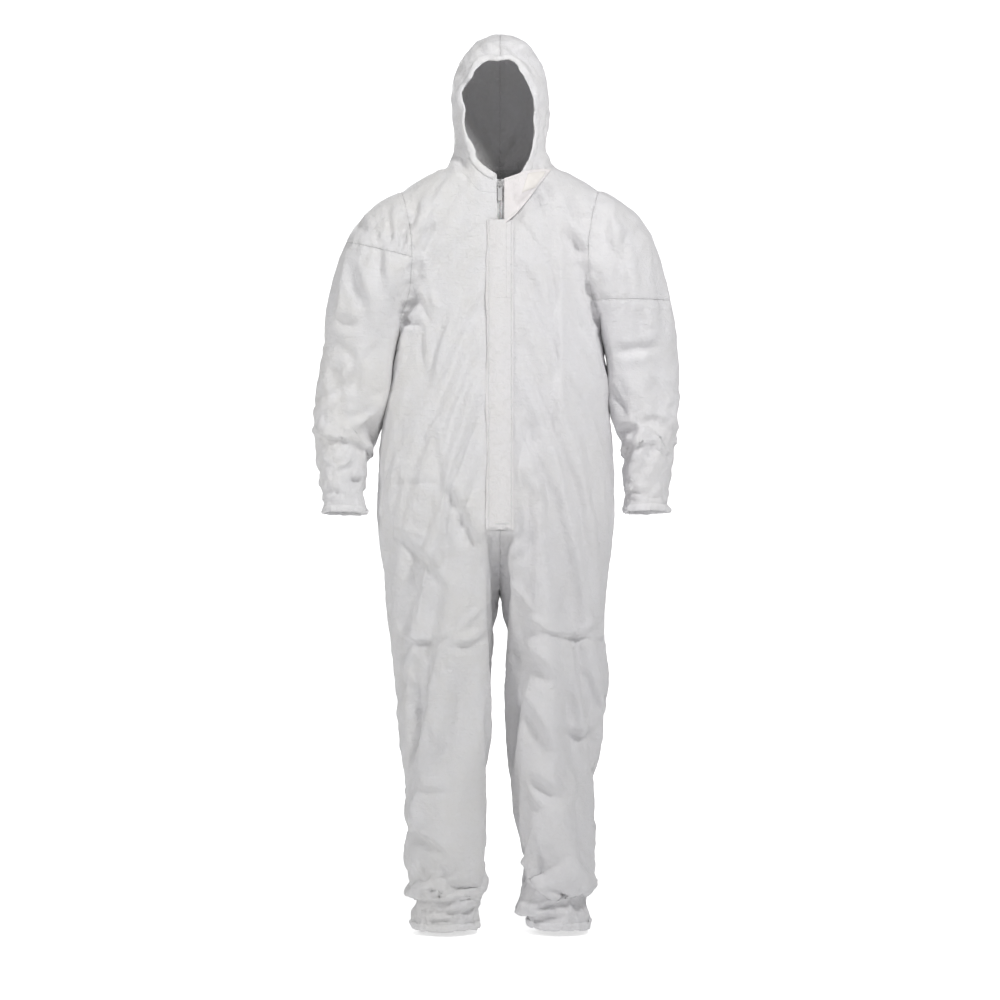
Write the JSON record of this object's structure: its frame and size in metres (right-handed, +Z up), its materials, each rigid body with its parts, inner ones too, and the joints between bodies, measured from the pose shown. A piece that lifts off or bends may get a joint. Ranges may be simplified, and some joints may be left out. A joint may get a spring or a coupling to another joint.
{
  "type": "chemical protective suit",
  "caption": "Hooded one-piece protective coverall in its worn shape, with front zip under a storm flap, fold-over chin flap, and elastic at face, wrists, waist and ankles.",
  "frame": {"origin": "midway between the two ankle openings, on the plane of the ankle hems", "axes": "+Z up from hems to hood, -Y the way the wearer faces, +X the wearer's left"},
  "size_m": [0.6972, 0.2963, 1.706],
  "materials": {
    "nonwoven_fabric": "matte laminated nonwoven",
    "elastic_band": "matte knitted elastic",
    "zip_tape": "matte woven tape",
    "zip_coil": "satin nylon",
    "zip_slider": "white lacquer",
    "adhesive_tape": "release paper over adhesive",
    "label": "matte, blank"
  },
  "bodies": {
    "torso": {"front_panel_right": "nonwoven_fabric", "front_panel_left": "nonwoven_fabric", "back_panel": "nonwoven_fabric", "zip_tape_right": "zip_tape", "zip_tape_left": "zip_tape", "zip_teeth_right": "zip_coil", "zip_teeth_left": "zip_coil", "zip_bottom_stop": "zip_coil", "zip_top_stops": "zip_coil", "flap_tape": "adhesive_tape", "waist_elastic": "elastic_band", "size_label": "label"},
    "storm_flap": {"storm_flap": "nonwoven_fabric"},
    "chin_flap": {"chin_flap": "nonwoven_fabric", "chin_flap_tape": "adhesive_tape"},
    "zip_slider": {"zip_slider": "zip_slider"},
    "zip_pull_tab": {"zip_pull_tab": "zip_slider"},
    "hood": {"hood_panel_right": "nonwoven_fabric", "hood_panel_left": "nonwoven_fabric", "hood_face_elastic": "elastic_band"},
    "arm_upper_right": {"sleeve_upper_right": "nonwoven_fabric"},
    "arm_lower_right": {"sleeve_lower_right": "nonwoven_fabric", "wrist_elastic_right": "elastic_band"},
    "leg_upper_right": {"leg_upper_front_right": "nonwoven_fabric", "leg_upper_back_right": "nonwoven_fabric"},
    "leg_lower_right": {"leg_lower_front_right": "nonwoven_fabric", "leg_lower_back_right": "nonwoven_fabric", "ankle_elastic_right": "elastic_band"},
    "arm_upper_left": {"sleeve_upper_left": "nonwoven_fabric"},
    "arm_lower_left": {"sleeve_lower_left": "nonwoven_fabric", "wrist_elastic_left": "elastic_band"},
    "leg_upper_left": {"leg_upper_front_left": "nonwoven_fabric", "leg_upper_back_left": "nonwoven_fabric"},
    "leg_lower_left": {"leg_lower_front_left": "nonwoven_fabric", "leg_lower_back_left": "nonwoven_fabric", "ankle_elastic_left": "elastic_band"}
  },
  "joints": [
    {"name": "zip_slide", "type": "slide", "parent": "torso", "child": "zip_slider", "axis": [0, 0.0795, 0.9968], "range_m": [-0.63, 0]},
    {"name": "pull_tab_swing", "type": "hinge", "parent": "zip_slider", "child": "zip_pull_tab", "pos_m": [0, -0.10368, 1.41218], "axis": [-1, 0, 0], "range_deg": [0, 150]},
    {"name": "storm_flap_open", "type": "hinge", "parent": "torso", "child": "storm_flap", "pos_m": [0.025, -0.15349, 0.77312], "axis": [0, -0.0795, -0.9968], "range_deg": [-105, 0]},
    {"name": "chin_flap_fold", "type": "hinge", "parent": "torso", "child": "chin_flap", "pos_m": [0.01, -0.11128, 1.37166], "axis": [0, 0.0795, 0.9968], "range_deg": [-165, 0]},
    {"name": "hood_fold", "type": "hinge", "parent": "torso", "child": "hood", "pos_m": [0, 0.088, 1.45], "axis": [-1, 0, 0], "range_deg": [0, 90]},
    {"name": "shoulder_right", "type": "hinge", "parent": "torso", "child": "arm_upper_right", "pos_m": [-0.195, 0, 1.29], "axis": [0, 1, 0], "range_deg": [0, 80]},
    {"name": "elbow_right", "type": "hinge", "parent": "arm_upper_right", "child": "arm_lower_right", "pos_m": [-0.283, 0.002, 1.04], "axis": [-1, 0, 0], "range_deg": [0, 85]},
    {"name": "hip_right", "type": "hinge", "parent": "torso", "child": "leg_upper_right", "pos_m": [-0.107, 0, 0.8], "axis": [-1, 0, 0], "range_deg": [-20, 60]},
    {"name": "knee_right", "type": "hinge", "parent": "leg_upper_right", "child": "leg_lower_right", "pos_m": [-0.107, 0, 0.385], "axis": [1, 0, 0], "range_deg": [0, 80]},
    {"name": "shoulder_left", "type": "hinge", "parent": "torso", "child": "arm_upper_left", "pos_m": [0.195, 0, 1.29], "axis": [0, -1, 0], "range_deg": [0, 80]},
    {"name": "elbow_left", "type": "hinge", "parent": "arm_upper_left", "child": "arm_lower_left", "pos_m": [0.283, 0.002, 1.04], "axis": [-1, 0, 0], "range_deg": [0, 85]},
    {"name": "hip_left", "type": "hinge", "parent": "torso", "child": "leg_upper_left", "pos_m": [0.107, 0, 0.8], "axis": [-1, 0, 0], "range_deg": [-20, 60]},
    {"name": "knee_left", "type": "hinge", "parent": "leg_upper_left", "child": "leg_lower_left", "pos_m": [0.107, 0, 0.385], "axis": [1, 0, 0], "range_deg": [0, 80]}
  ]
}
